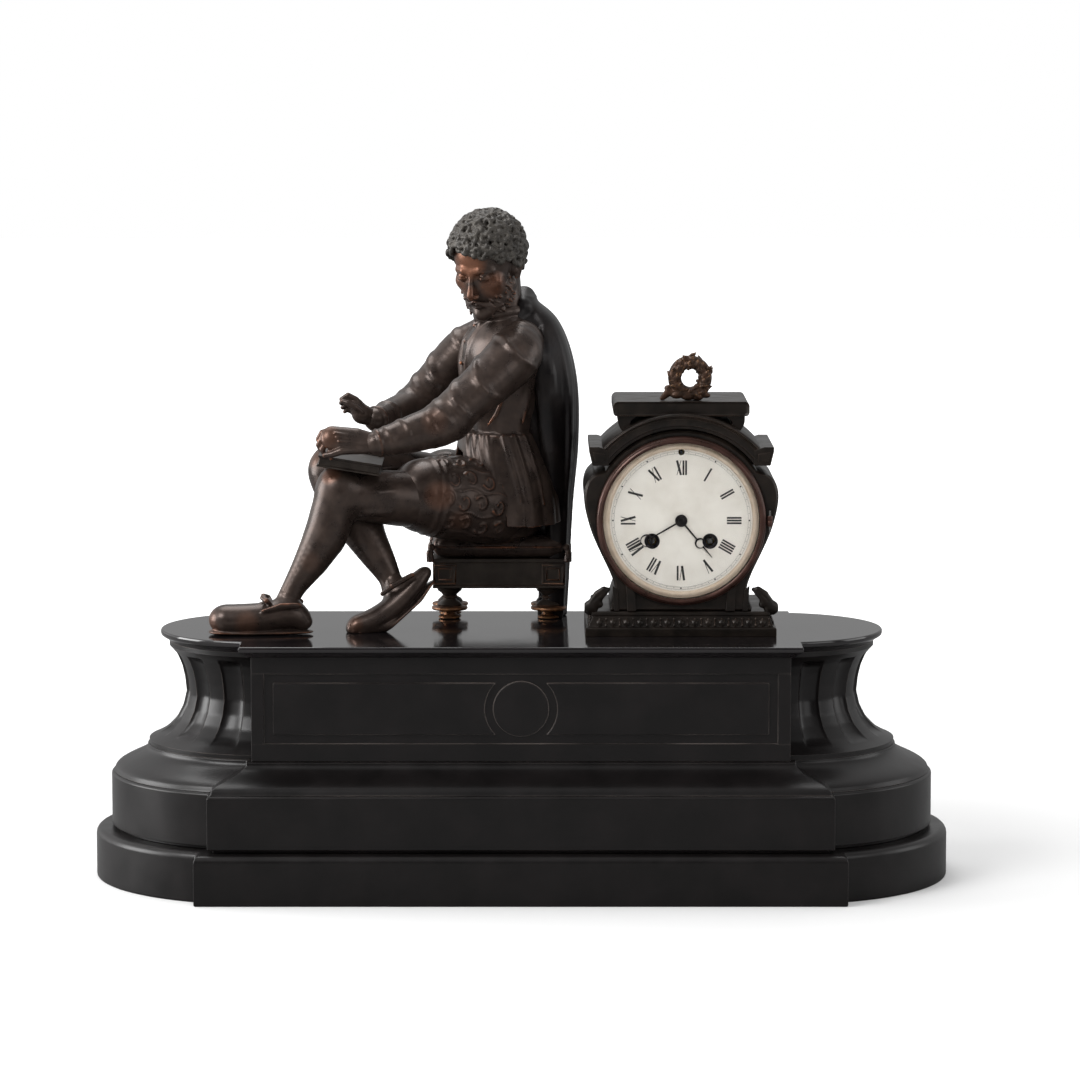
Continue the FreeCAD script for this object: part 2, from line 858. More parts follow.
def turned_foot(x, y):
    """Gilt disc on the slab, ogee up to a slim neck, and a cup under the frame."""
    low = value(S.figure_height * S.stool_frame_low_share)
    disc = value(S.foot_disc_radius)
    neck = value(S.foot_neck_radius)
    head = value(S.foot_head_radius)
    foot_shares = [(0.0, disc), (0.16, disc), (0.20, disc * 0.72), (0.42, neck * 1.25), (0.58, neck),
                   (0.80, head), (1.0, head * 0.86)]
    rings = []
    for rise, radius in foot_shares:
        centre = V(x, y, value(plinth_top) + low * rise)
        rings.append(ring(centre, radius, V(1, 0, 0), V(0, 1, 0), 1, LIMB_SIDES))
    return faced_stack(rings)


def cushion_ring(height_share, swell):
    """One section of the cushion: corners stand out and the sides draw in between them."""
    half_width = value(S.stool_half_width) * swell
    half_depth = value(S.stool_half_depth) * swell
    centre = V(value(S.stool_x), value(S.stool_y), figure_origin.z + height_share * figure_size)
    draw_in = 0.93
    edge_shares = [(-1, -1), (0, -draw_in), (1, -1), (draw_in, 0), (1, 1), (0, draw_in), (-1, 1), (-draw_in, 0)]
    corners = [centre + V(half_width * x, half_depth * y, 0) for x, y in edge_shares]
    return corners


def make_cushion():
    low = value(S.stool_frame_high_share)
    high = value(S.cushion_top_share)
    swell_shares = [(0.0, 0.97), (0.22, 1.04), (0.55, 1.06), (0.82, 0.98), (1.0, 0.80)]
    rings = [cushion_ring(low + (high - low) * rise, swell) for rise, swell in swell_shares]
    return faced_stack(rings)


def make_torso():
    return stack([(-0.01, 0.010, 0.205, 0.105), (-0.015, 0.012, 0.27, 0.135), (-0.012, 0.010, 0.36, 0.122),
                  (-0.010, 0.008, 0.445, 0.112), (-0.004, 0.0, 0.55, 0.132), (0.0, -0.010, 0.62, 0.144),
                  (0.002, -0.022, 0.672, 0.134), (0.0, -0.034, 0.71, 0.095), (-0.004, -0.046, 0.735, 0.058)],
                 UP, NEAR_SIDE, 0.74, TORSO_SIDES)


def make_head():
    neck = stack([(0.0, -0.035, 0.70, 0.046), (-0.022, -0.075, 0.80, 0.046)], UP, FACING, 0.95)
    skull = stack([(-0.052, -0.105, 0.765, 0.036), (-0.050, -0.103, 0.785, 0.056),
                   (-0.046, -0.096, 0.825, 0.075), (-0.042, -0.088, 0.87, 0.085),
                   (-0.040, -0.080, 0.915, 0.094), (-0.038, -0.074, 0.95, 0.088),
                   (-0.038, -0.070, 0.978, 0.064), (-0.038, -0.068, 0.993, 0.030)],
                  UP, V(-0.75, -0.66, 0), 0.92, TORSO_SIDES)
    return skull.fuse(neck)


def make_arm(shoulder, forearm, upper_axis, lower_axis):
    upper = stack(shoulder, upper_axis, UP, 0.9)
    lower = stack(forearm, lower_axis, UP, 0.9)
    return upper.fuse(lower)


def make_near_arm():
    return make_arm([(0.035, -0.115, 0.668, 0.062), (0.020, -0.155, 0.635, 0.068),
                     (-0.050, -0.200, 0.572, 0.056), (-0.125, -0.238, 0.505, 0.053),
                     (-0.165, -0.255, 0.470, 0.040)],
                    [(-0.125, -0.235, 0.485, 0.048), (-0.180, -0.258, 0.479, 0.050),
                     (-0.240, -0.280, 0.463, 0.042), (-0.300, -0.300, 0.451, 0.032)],
                    V(-0.72, -0.33, -0.61), V(-0.93, -0.34, -0.17))


def make_far_arm():
    return make_arm([(-0.060, 0.115, 0.660, 0.060), (-0.100, 0.112, 0.630, 0.062),
                     (-0.160, 0.080, 0.570, 0.054), (-0.215, 0.045, 0.515, 0.048),
                     (-0.235, 0.030, 0.490, 0.036)],
                    [(-0.210, 0.060, 0.508, 0.044), (-0.235, 0.010, 0.505, 0.046),
                     (-0.275, -0.070, 0.498, 0.038), (-0.308, -0.130, 0.492, 0.030)],
                    V(-0.66, -0.37, -0.64), V(-0.45, -0.88, -0.05))


def make_near_hand():
    palm = stack([(-0.292, -0.298, 0.452, 0.024), (-0.330, -0.306, 0.456, 0.032),
                  (-0.372, -0.312, 0.458, 0.037), (-0.405, -0.312, 0.450, 0.034)],
                 V(-1, -0.1, 0), V(0, 1, 0.25), 0.55, FINGER_SIDES)
    fingers = stack([(-0.398, -0.312, 0.462, 0.030), (-0.425, -0.312, 0.440, 0.032),
                     (-0.432, -0.310, 0.415, 0.026)],
                    V(-0.45, 0, -0.9), V(0, 1, 0), 0.42, FINGER_SIDES)
    return palm.fuse(fingers)


def make_far_hand():
    palm = stack([(-0.300, -0.122, 0.492, 0.022), (-0.325, -0.142, 0.500, 0.030),
                  (-0.350, -0.154, 0.515, 0.030)], V(-0.7, -0.4, 0.4), UP, 0.6, FINGER_SIDES)
    fingers = stack([(-0.342, -0.150, 0.508, 0.026), (-0.365, -0.158, 0.532, 0.022),
                     (-0.380, -0.160, 0.550, 0.013)], V(-0.6, -0.1, 0.75), V(0, 1, 0), 0.6, FINGER_SIDES)
    return palm.fuse(fingers)


def make_hose():
    near = stack([(0.02, -0.020, 0.275, 0.090), (-0.04, -0.050, 0.285, 0.108), (-0.11, -0.085, 0.296, 0.106),
                  (-0.175, -0.118, 0.303, 0.092)], V(-0.90, -0.42, 0.10), UP, 0.92)
    far = stack([(0.0, 0.070, 0.275, 0.085), (-0.07, 0.070, 0.30, 0.098), (-0.14, 0.055, 0.325, 0.090)],
                V(-0.95, -0.12, 0.28), UP, 0.85)
    return near.fuse(far)


def make_near_leg():
    thigh = stack([(-0.13, -0.095, 0.298, 0.070), (-0.22, -0.145, 0.305, 0.071),
                   (-0.315, -0.190, 0.318, 0.066), (-0.375, -0.212, 0.328, 0.052)],
                  V(-0.88, -0.44, 0.12), UP, 0.9)
    shin = stack([(-0.368, -0.208, 0.372, 0.040), (-0.385, -0.212, 0.345, 0.060),
                  (-0.400, -0.216, 0.290, 0.060), (-0.420, -0.222, 0.230, 0.056),
                  (-0.455, -0.238, 0.165, 0.042), (-0.492, -0.254, 0.108, 0.029),
                  (-0.512, -0.262, 0.068, 0.028)], V(-0.42, -0.16, -0.89), V(1, 0, -0.4), 0.88)
    return thigh.fuse(shin)


def make_far_leg():
    thigh = stack([(-0.09, 0.062, 0.31, 0.066), (-0.20, 0.020, 0.338, 0.068), (-0.32, -0.050, 0.362, 0.064),
                   (-0.395, -0.090, 0.372, 0.054)], V(-0.87, -0.45, 0.18), UP, 0.9)
    shin = stack([(-0.420, -0.095, 0.392, 0.036), (-0.412, -0.102, 0.362, 0.056),
                  (-0.385, -0.115, 0.300, 0.058), (-0.345, -0.135, 0.240, 0.054),
                  (-0.305, -0.155, 0.180, 0.043), (-0.272, -0.172, 0.125, 0.029),
                  (-0.262, -0.180, 0.090, 0.027)], V(0.45, -0.25, -0.86), V(1, 0, 0.5), 0.88)
    return thigh.fuse(shin)


def make_near_shoe():
    return above_plinth(stack([(-0.452, -0.272, 0.020, 0.026), (-0.478, -0.272, 0.035, 0.040),
                               (-0.520, -0.272, 0.042, 0.047), (-0.570, -0.274, 0.030, 0.046),
                               (-0.625, -0.276, 0.020, 0.046), (-0.665, -0.278, 0.018, 0.043),
                               (-0.682, -0.278, 0.018, 0.034)],
                              V(-1, 0, 0), V(0, 1, 0), 0.86))


def make_far_shoe():
    return above_plinth(stack([(-0.180, -0.196, 0.135, 0.018), (-0.192, -0.200, 0.120, 0.029),
                               (-0.232, -0.210, 0.082, 0.034), (-0.275, -0.222, 0.046, 0.036),
                               (-0.310, -0.232, 0.022, 0.038), (-0.345, -0.240, 0.006, 0.034),
                               (-0.362, -0.244, 0.002, 0.024)],
                              V(-0.80, -0.22, -0.56), V(0.26, -0.97, 0), 0.72))


def make_skirt():
    outside = stack([(-0.008, 0.008, 0.447, 0.124), (0.0, 0.006, 0.40, 0.134), (0.012, 0.004, 0.33, 0.148),
                     (0.024, 0.002, 0.250, 0.160)], UP, NEAR_SIDE, 0.80, CLOAK_SIDES, 8, 0.02)
    inside = stack([(-0.008, 0.008, 0.460, 0.108), (0.0, 0.006, 0.40, 0.122), (0.012, 0.004, 0.33, 0.136),
                    (0.024, 0.002, 0.235, 0.150)], UP, NEAR_SIDE, 0.80, TORSO_SIDES)
    return outside.cut(inside)


def make_cloak():
    return stack([(0.050, 0.000, 0.775, 0.050), (0.088, 0.004, 0.725, 0.090), (0.112, 0.006, 0.65, 0.112),
                  (0.126, 0.008, 0.55, 0.116), (0.130, 0.008, 0.42, 0.117), (0.130, 0.008, 0.28, 0.118),
                  (0.126, 0.006, 0.12, 0.120), (0.116, 0.006, 0.0, 0.116)],
                 UP, V(-0.10, 1, 0), 0.40, CLOAK_SIDES, 6, 0.04)


def make_tablet():
    length = value(S.tablet_length)
    width = value(S.tablet_width)
    thickness = value(S.tablet_thickness)
    board = Part.makeBox(length, width, thickness, V(-length / 2, -width / 2, 0))
    board.rotate(V(0, 0, 0), V(0, 1, 0), value(S.tablet_tilt_angle))
    board.translate(spot(-0.362, -0.195, 0.385))
    return board


def trimmed(shape, *neighbours):
    """Cuts a casting back to the castings that it is pinned to, so that they meet face to face."""
    for neighbour in neighbours:
        shape = shape.cut(neighbour)
    return main_solid(shape)


def make_figure():
    """Pieces named first keep their whole form, and those after them are trimmed against them."""
    cushion = make_cushion()
    torso = make_torso()
    hose = make_hose()
    near_leg = make_near_leg()
    far_leg = make_far_leg()
    near_arm = make_near_arm()
    far_arm = make_far_arm()
    near_hand = make_near_hand()
    skirt = make_skirt()
    head = make_head()
    spread = value(S.foot_disc_radius - S.foot_inset + S.cloak_gap)
    stool = Part.makeBox(2 * (value(S.stool_half_width) + spread), 2 * (value(S.stool_half_depth) + spread),
                         value(S.stool_frame_high_share) * figure_size,
                         V(value(stool_left) - spread, value(stool_front) - spread, figure_origin.z))
    castings = [
        ("stool_cushion", cushion),
        ("figure_torso", trimmed(torso, cushion)),
        ("trunk_hose", trimmed(hose, torso, cushion)),
        ("near_leg", trimmed(near_leg, hose, torso)),
        ("far_leg", trimmed(far_leg, hose, torso, near_leg)),
        ("near_shoe", trimmed(make_near_shoe(), near_leg)),
        ("far_shoe", trimmed(make_far_shoe(), far_leg)),
        ("figure_head", trimmed(head, torso)),
        ("near_sleeve", trimmed(near_arm, torso)),
        ("far_sleeve", trimmed(far_arm, torso)),
        ("near_hand", trimmed(near_hand, near_arm)),
        ("far_hand", trimmed(make_far_hand(), far_arm)),
        ("tablet", trimmed(make_tablet(), near_leg, far_leg, near_hand, hose)),
        ("doublet_skirt", trimmed(skirt, torso, hose, cushion, near_leg, far_leg, near_arm)),
        ("cloak", above_plinth(trimmed(make_cloak(), torso, skirt, cushion, head, near_arm, far_arm,
                                       hose, stool))),
    ]
    for label, solid in castings:
        subpart(form(label, solid))


# Places of the arbors, to the right of and above the axis of the dial
def turned_place(distance, angle, start=(0, 0)):
    reach = math.radians(angle)
    return start[0] + distance * math.cos(reach), start[1] + distance * math.sin(reach)


def centre_distance(teeth, module):
    return value((teeth + S.pinion_leaves) * module / 2)


def meeting_place(first, first_distance, second, second_distance, side):
    """Where an arbor stands at given distances from two others, left or right of their line."""
    along_x = second[0] - first[0]
    along_z = second[1] - first[1]
    span = math.hypot(along_x, along_z)
    along = (first_distance ** 2 - second_distance ** 2 + span ** 2) / (2 * span)
    off = math.sqrt(first_distance ** 2 - along ** 2) * side
    return (first[0] + (along * along_x - off * along_z) / span,
            first[1] + (along * along_z + off * along_x) / span)


centre_place = (0.0, 0.0)
barrel_place = (value(S.winding_offset), -value(S.winding_drop))
strike_place = (-value(S.winding_offset), -value(S.winding_drop))
fine_distance = centre_distance(S.fine_teeth, S.fine_module)
second_distance = centre_distance(S.second_teeth, S.second_module)
barrel_distance = centre_distance(S.barrel_teeth, S.barrel_module)
motion_distance = centre_distance(S.minute_wheel_teeth, S.cannon_module)
pallet_place = (0.0, value(S.pallet_rise))
escape_share = 0.585
escape_place = (0.0, value(S.pallet_rise) * escape_share)
second_place = meeting_place(centre_place, second_distance, barrel_place, barrel_distance, 1)
third_place = meeting_place(centre_place, fine_distance, escape_place, fine_distance, 1)
minute_place = (0.0, -motion_distance)


def clock_point(x, y, z):
    """A place given from the dial's axis, with y as in the whole object."""
    return V(value(S.clock_x) + x, y, value(dial_z) + z)


def pitch_radius(teeth, module):
    return value(teeth * module / 2)


def wheel_outline(teeth, module, phase, root_share=TOOTH_ROOT_SHARE):
    """Pointed teeth; phase is the angle of one tooth, counted from the right towards the top."""
    count = int(value(teeth))
    pitch = 360.0 / count
    radius = pitch_radius(teeth, module)
    root = radius - WHEEL_DEDENDUM_SHARE * value(module)
    tip = radius + WHEEL_ADDENDUM_SHARE * value(module)
    corners = []
    for index in range(count):
        middle = phase + index * pitch
        corners.append(turned_place(root, middle - root_share * pitch))
        corners.append(turned_place(tip, middle))
        if root_share < 0.5:
            corners.append(turned_place(root, middle + root_share * pitch))
    return corners


def pinion_outline(module, phase, addendum_share=LEAF_ADDENDUM_SHARE):
    count = int(value(S.pinion_leaves))
    pitch = 360.0 / count
    radius = pitch_radius(S.pinion_leaves, module)
    root = radius - LEAF_DEDENDUM_SHARE * value(module)
    tip = radius + addendum_share * value(module)
    corners = []
    for index in range(count):
        middle = phase + index * pitch
        for reach, spread in ((root, -LEAF_ROOT_SHARE), (tip, -LEAF_TIP_SHARE),
                              (tip, LEAF_TIP_SHARE), (root, LEAF_ROOT_SHARE)):
            corners.append(turned_place(reach, middle + spread * pitch))
    return corners


def slice_of(outline, place, front, thickness):
    """A flat piece with the given outline, whose front face lies at the depth front."""
    corners = [clock_point(place[0] + x, front, place[1] + z) for x, z in outline]
    face = Part.Face(Part.makePolygon(corners + corners[:1]))
    return face.extrude(V(0, thickness, 0))


def rod(place, radius, front, back):
    corners = ring(clock_point(place[0], front, place[1]), radius, V(1, 0, 0), UP, 1, flat_sides(radius))
    return Part.Face(Part.makePolygon(corners + corners[:1])).extrude(V(0, back - front, 0))


def following_phase(wheel_phase, wheel_teeth, direction):
    """Phase that puts a space of the pinion where the wheel's tooth comes, seen from the pinion."""
    pitch = 360.0 / int(value(wheel_teeth))
    part = ((direction - wheel_phase) / pitch) % 1.0
    return direction + 180 - (0.5 - part) * 360.0 / int(value(S.pinion_leaves))


def direction_from(start, end):
    return math.degrees(math.atan2(end[1] - start[1], end[0] - start[0]))


def leading_phase(pinion_phase, wheel_teeth, direction):
    """Phase of a wheel that is set against a pinion; direction runs from wheel to pinion."""
    pitch = 360.0 / int(value(S.pinion_leaves))
    part = ((direction + 180 - pinion_phase) / pitch) % 1.0
    return direction - (part - 0.5) * 360.0 / int(value(wheel_teeth))


def make_train():
    thin = value(S.wheel_thickness)
    leaf = value(S.pinion_length)
    arbor = value(S.arbor_radius)
    start = value(train_front)
    front = value(plate_front)
    back = value(plate_back)
    centre_front = start + value(S.centre_layer)
    barrel_front = start + value(S.barrel_layer)
    third_front = start + value(S.third_layer)
    second_front = start + value(S.second_layer)
    leaf_lead = (leaf - thin) / 2

    # Wheel and pinion phases run from the going barrel up to the escape wheel
    second_leaf_phase = following_phase(0, S.barrel_teeth, direction_from(barrel_place, second_place))
    centre_leaf_phase = following_phase(0, S.second_teeth, direction_from(second_place, centre_place))
    third_leaf_phase = following_phase(0, S.fine_teeth, direction_from(centre_place, third_place))
    escape_leaf_phase = following_phase(0, S.fine_teeth, direction_from(third_place, escape_place))

    second = rod(second_place, arbor, front, back).fuse([
        slice_of(pinion_outline(S.barrel_module, second_leaf_phase), second_place,
                 barrel_front - leaf_lead, leaf),
        slice_of(wheel_outline(S.second_teeth, S.second_module, 0), second_place, second_front, thin)])
    subpart(form("second_wheel", second))

    third = rod(third_place, arbor, front, back).fuse([
        slice_of(pinion_outline(S.fine_module, third_leaf_phase, FINE_ADDENDUM_SHARE), third_place,
                 centre_front - leaf_lead + arbor, leaf),
        slice_of(wheel_outline(S.fine_teeth, S.fine_module, 0, FINE_ROOT_SHARE), third_place, third_front, thin)])
    subpart(form("third_wheel", third))

    escape = rod(escape_place, arbor, front, back).fuse([
        slice_of(pinion_outline(S.fine_module, escape_leaf_phase, FINE_ADDENDUM_SHARE), escape_place,
                 third_front - leaf_lead, leaf),
        slice_of(escape_outline(), escape_place, start + value(S.escape_layer), thin)])
    subpart(form("escape_wheel", escape))

    # The centre wheel carries the cannon pinion and the pipe of the minute hand
    cannon_back = front - value(S.cannon_layer)
    cannon_front = cannon_back - leaf
    pipe_front = value(dial_face - S.hand_gap * 2 - S.hand_thickness * 2)
    centre = rod(centre_place, arbor, cannon_front, back).fuse([
        slice_of(wheel_outline(S.fine_teeth, S.fine_module, 0, FINE_ROOT_SHARE), centre_place, centre_front, thin),
        slice_of(pinion_outline(S.second_module, centre_leaf_phase), centre_place,
                 second_front - leaf_lead, leaf),
        slice_of(pinion_outline(S.cannon_module, 0), centre_place, cannon_front, leaf),
        rod(centre_place, value(S.cannon_pipe_radius), pipe_front, cannon_front)])
    subpart(form("centre_wheel", centre))

    motion_direction = direction_from(minute_place, centre_place)
    wheel_phase = leading_phase(0, S.minute_wheel_teeth, motion_direction)
    hour_front = front - value(S.hour_layer) - thin
    minute = slice_of(wheel_outline(S.minute_wheel_teeth, S.cannon_module, wheel_phase), minute_place,
                      cannon_front + leaf_lead, thin)
    minute_leaf = slice_of(pinion_outline(S.hour_module, 0), minute_place, hour_front,
                           cannon_front + leaf_lead - hour_front)
    minute = minute.fuse(minute_leaf).cut(rod(minute_place, around(value(S.stud_radius + S.pivot_clearance)),
                                              value(dial_face), front))
    subpart(form("minute_wheel", minute))

    hour_phase = leading_phase(0, S.hour_wheel_teeth, direction_from(centre_place, minute_place))
    pipe = rod(centre_place, value(S.hour_pipe_radius), value(dial_face - S.hand_gap - S.hand_thickness),
               hour_front)
    hour = slice_of(wheel_outline(S.hour_wheel_teeth, S.hour_module, hour_phase), centre_place,
                    hour_front, thin).fuse(pipe)
    bore = rod(centre_place, around(value(S.cannon_pipe_radius + S.hour_pipe_clearance)), pipe_front, front)
    subpart(form("hour_wheel", hour.cut(bore)))

    for label, place in (("going_barrel", barrel_place), ("strike_barrel", strike_place)):
        teeth = slice_of(wheel_outline(S.barrel_teeth, S.barrel_module, 0), place, barrel_front,
                         value(S.great_wheel_thickness))
        drum_front = barrel_front + value(S.great_wheel_thickness)
        drum = rod(place, value(S.barrel_drum_radius), drum_front, drum_front + value(S.barrel_drum_length))
        hole = rod(place, around(value(S.barrel_arbor_radius + S.barrel_clearance)), front, back)
        subpart(form(label, teeth.fuse(drum).cut(hole)))


def escape_outline():
    """Raked teeth, each a rising flank and a steep face."""
    count = int(value(S.escape_teeth))
    corners = []
    for index in range(count):
        corners.append(turned_place(value(S.escape_radius - S.escape_tooth), 360.0 * index / count))
        corners.append(turned_place(value(S.escape_radius), 360.0 * (index + ESCAPE_RAKE_SHARE) / count))
    return corners


def make_winding():
    for label, x in (("going_arbor", S.winding_offset), ("strike_arbor", -S.winding_offset)):
        across = S.clock_x + x
        up = dial_z - S.winding_drop
        shaft = cylinder(label + "_shaft", S.barrel_arbor_radius, plate_back - plate_front, across,
                         plate_front, up, ALONG_Y)
        front = dial_face + S.square_recess
        square = box(label + "_square", S.winding_square, plate_front - front, S.winding_square,
                     across - S.winding_square / 2, front, up - S.winding_square / 2)
        subpart(fuse(label, [shaft, square]))
    arbor = cylinder("regulator_arbor", S.regulator_radius, plate_back + S.regulator_depth - dial_face
                     - S.square_recess, S.clock_x, dial_face + S.square_recess, dial_z + S.regulator_rise,
                     ALONG_Y)
    subpart(arbor)


def make_plates():
    fit = around(S.arbor_radius + S.pivot_clearance)
    barrel_fit = around(S.barrel_arbor_radius + S.barrel_clearance)
    turning = [second_place, third_place, escape_place, pallet_place, centre_place]
    for label, face in (("front_plate", train_front), ("back_plate", plate_back)):
        disc = cylinder(label + "_disc", S.plate_radius, S.movement_plate, S.clock_x,
                        face - S.movement_plate, dial_z, ALONG_Y)
        holes = []
        for side in (-1, 1):
            holes.append(cylinder("%s_barrel_hole_%d" % (label, side), barrel_fit,
                                  S.movement_plate + S.cut_overrun * 2, S.clock_x + S.winding_offset * side,
                                  face - S.movement_plate - S.cut_overrun, dial_z - S.winding_drop, ALONG_Y))
        for index, place in enumerate(turning):
            holes.append(cylinder("%s_hole_%d" % (label, index), fit, S.movement_plate + S.cut_overrun * 2,
                                  S.clock_x + place[0], face - S.movement_plate - S.cut_overrun,
                                  dial_z + place[1], ALONG_Y))
        if label == "back_plate":
            holes.append(cylinder("hammer_hole", around(S.hammer_rod_radius + S.pivot_clearance),
                                  S.movement_plate + S.cut_overrun * 2, S.clock_x + S.hammer_x,
                                  face - S.movement_plate - S.cut_overrun, dial_z - S.hammer_drop, ALONG_Y))
        plate = cut(label + "_bored", disc, holes)
        if label == "front_plate":
            stud_front = dial_back + S.hinge_end_gap
            stud = cylinder("minute_stud", S.stud_radius, plate_front - stud_front, S.clock_x + minute_place[0],
                            stud_front, dial_z + minute_place[1], ALONG_Y)
            plate = fuse("front_plate_with_stud", [plate, stud])
        subpart(plate, label)
    pillars = []
    for index, angle in enumerate(PILLAR_ANGLES):
        x, z = turned_place(1, angle)
        pillars.append(cylinder("pillar_%d" % index, S.pillar_radius, S.plate_spacing,
                                S.clock_x + S.pillar_circle * x, train_front, dial_z + S.pillar_circle * z,
                                ALONG_Y))
    group = doc.addObject("Part::Compound", "plate_pillars")
    group.Links = pillars
    subpart(group)


def make_escapement():
    rise = value(S.pallet_rise - S.pallet_rise * escape_share)
    pallet_shares = [(-0.12, 0.13), (0.12, 0.13), (0.58, -0.385), (0.50, -0.505), (0.41, -0.445),
                     (0.0, -0.18), (-0.41, -0.445), (-0.50, -0.505), (-0.58, -0.385)]
    outline = [(rise * x, rise * z) for x, z in pallet_shares]
    anchor = slice_of(outline, pallet_place, value(train_front + S.pallet_layer), value(S.pallet_thickness))
    crutch_front = value(plate_back + S.crutch_gap)
    crutch_back = crutch_front + value(S.crutch_thickness)
    arbor = rod(pallet_place, value(S.arbor_radius), value(plate_front), crutch_back)
    half = value(S.crutch_width) / 2
    low = value(S.pallet_rise - S.crutch_length)
    arm = slice_of([(-half, 0), (half, 0), (half, low - pallet_place[1]), (-half, low - pallet_place[1])],
                   pallet_place, crutch_front, value(S.crutch_thickness))
    inner = value(S.pendulum_rod_radius + S.fork_clearance)
    outer = inner + value(S.fork_width)
    tall = value(S.fork_height)
    yoke = slice_of([(-outer, 0), (outer, 0), (outer, -tall), (-outer, -tall)], (0, low), crutch_front,
                    value(S.crutch_thickness))
    tines = [slice_of([(near, 0), (far, 0), (far, -tall), (near, -tall)], (0, low), crutch_front,
                      value(S.crutch_reach)) for near, far in ((-outer, -inner), (inner, outer))]
    subpart(form("pallets", anchor.fuse([arbor, arm, yoke] + tines)))

    bob_z = dial_z + S.pallet_rise - S.pendulum_length
    nut_low = bob_z - S.bob_radius - S.rating_nut_gap - S.rating_nut_height
    rod_low = nut_low - S.rod_tail
    stem = cylinder("pendulum_rod", S.pendulum_rod_radius, dial_z + S.pallet_rise - rod_low, S.clock_x,
                    pendulum_y, rod_low)
    bob = cylinder("pendulum_bob", S.bob_radius, S.bob_thickness, S.clock_x, pendulum_y - S.bob_thickness / 2,
                   bob_z, ALONG_Y)
    nut = cylinder("rating_nut", S.rating_nut_radius, S.rating_nut_height, S.clock_x, pendulum_y, nut_low)
    subpart(fuse("pendulum", [stem, bob, nut]))

    cock_low = dial_z + S.pallet_rise + S.cock_rise
    block = box("cock_block", S.cock_width, S.cock_depth, S.cock_height, S.clock_x - S.cock_width / 2,
                plate_back, cock_low)
    spring = box("suspension_spring", S.spring_thickness, S.spring_width, S.cock_rise - S.spring_gap,
                 S.clock_x - S.spring_thickness / 2, pendulum_y - S.spring_width / 2,
                 cock_low - S.cock_rise + S.spring_gap)
    bore = cylinder("regulator_bore", around(S.regulator_radius + S.pivot_clearance), S.regulator_depth
                    + S.hinge_end_gap + S.cut_overrun, S.clock_x, plate_back - S.cut_overrun,
                    dial_z + S.regulator_rise, ALONG_Y)
    subpart(cut("suspension_cock", fuse("cock_with_spring", [block, spring]), [bore]))


def bell_rings(radius, crown, depth, y_start):
    rings = []
    for rise, spread in BELL_SHARES:
        centre = clock_point(0, y_start + depth * rise, 0)
        rings.append(ring(centre, crown + (radius - crown) * spread, V(1, 0, 0), UP, 1, BELL_SIDES))
    return faced_stack(rings)


def make_bell():
    mouth = value(bell_mouth)
    wall = value(S.bell_wall)
    outside = bell_rings(value(S.bell_radius), value(S.bell_crown_radius), value(S.bell_depth), mouth)
    inside = bell_rings(value(S.bell_radius) - wall, value(S.bell_crown_radius) - wall,
                        value(S.bell_depth) - wall, mouth)
    hole = rod(centre_place, around(value(S.bell_stud_radius + S.bell_stud_fit)), mouth,
               mouth + value(S.bell_depth + S.cut_overrun))
    subpart(form("bell", outside.cut(inside).cut(hole)))

    bar_front = mouth - value(S.bell_bar_gap + S.bell_bar_thickness)
    post_place = (value(S.bell_post_x), value(S.bell_post_rise))
    post = rod(post_place, value(S.bell_post_radius), value(plate_back), bar_front)
    length = math.hypot(post_place[0], post_place[1])
    half = value(S.bell_bar_width) / 2
    angle = direction_from(centre_place, post_place)
    along = turned_place(1, angle)
    corners = []
    for reach, side in ((-half, -half), (length + half, -half), (length + half, half), (-half, half)):
        corners.append((along[0] * reach - along[1] * side, along[1] * reach + along[0] * side))
    bar = slice_of(corners, centre_place, bar_front, value(S.bell_bar_thickness))
    crown = mouth + value(S.bell_depth)
    stud = rod(centre_place, value(S.bell_stud_radius), bar_front, crown)
    nut = rod(centre_place, value(S.bell_nut_radius), crown, crown + value(S.bell_nut_height))
    subpart(form("bell_stand", post.fuse([bar, stud, nut])))

    layer = plate_back + S.hammer_layer
    arbor = cylinder("hammer_arbor", S.hammer_rod_radius, layer - train_back, S.clock_x + S.hammer_x,
                     train_back, dial_z - S.hammer_drop, ALONG_Y)
    arm = cylinder("hammer_arm", S.hammer_rod_radius, S.hammer_drop + S.hammer_rod_radius,
                   S.clock_x + S.hammer_x, layer, dial_z - S.hammer_drop - S.hammer_rod_radius)
    head = cylinder("hammer_head", S.hammer_head_radius, S.hammer_head_length,
                    S.clock_x + S.bell_radius + S.hammer_gap, layer, dial_z,
                    FreeCAD.Rotation(V(0, 1, 0), 90))
    subpart(fuse("hammer", [arbor, arm, head]))


def make_hand(label, length, moon_distance, moon_radius, angle, bore, front):
    """Blade with an open moon: the moon's eye is set off centre towards the tip."""
    half_root = value(S.hand_root_width) / 2
    half_tip = value(S.hand_tip_width) / 2
    reach = value(length)
    thick = value(S.hand_thickness)
    middle = value(moon_distance)
    outer = value(moon_radius)
    eye = outer - value(S.moon_width)
    blade = slice_of([(-half_root, 0), (half_root, 0), (half_tip, reach), (-half_tip, reach)],
                     centre_place, front, thick)
    disc = rod((0, middle), outer, front, front + thick)
    boss = rod(centre_place, value(S.hand_boss_radius), front, front + thick)
    hole = rod((0, middle + value(S.moon_shift)), eye, front, front + thick)
    pipe = rod(centre_place, around(bore), front, front + thick)
    hand = blade.fuse([disc, boss]).cut(hole).cut(pipe)
    hand.rotate(clock_point(0, 0, 0), V(0, 1, 0), value(angle))
    subpart(form(label, hand))


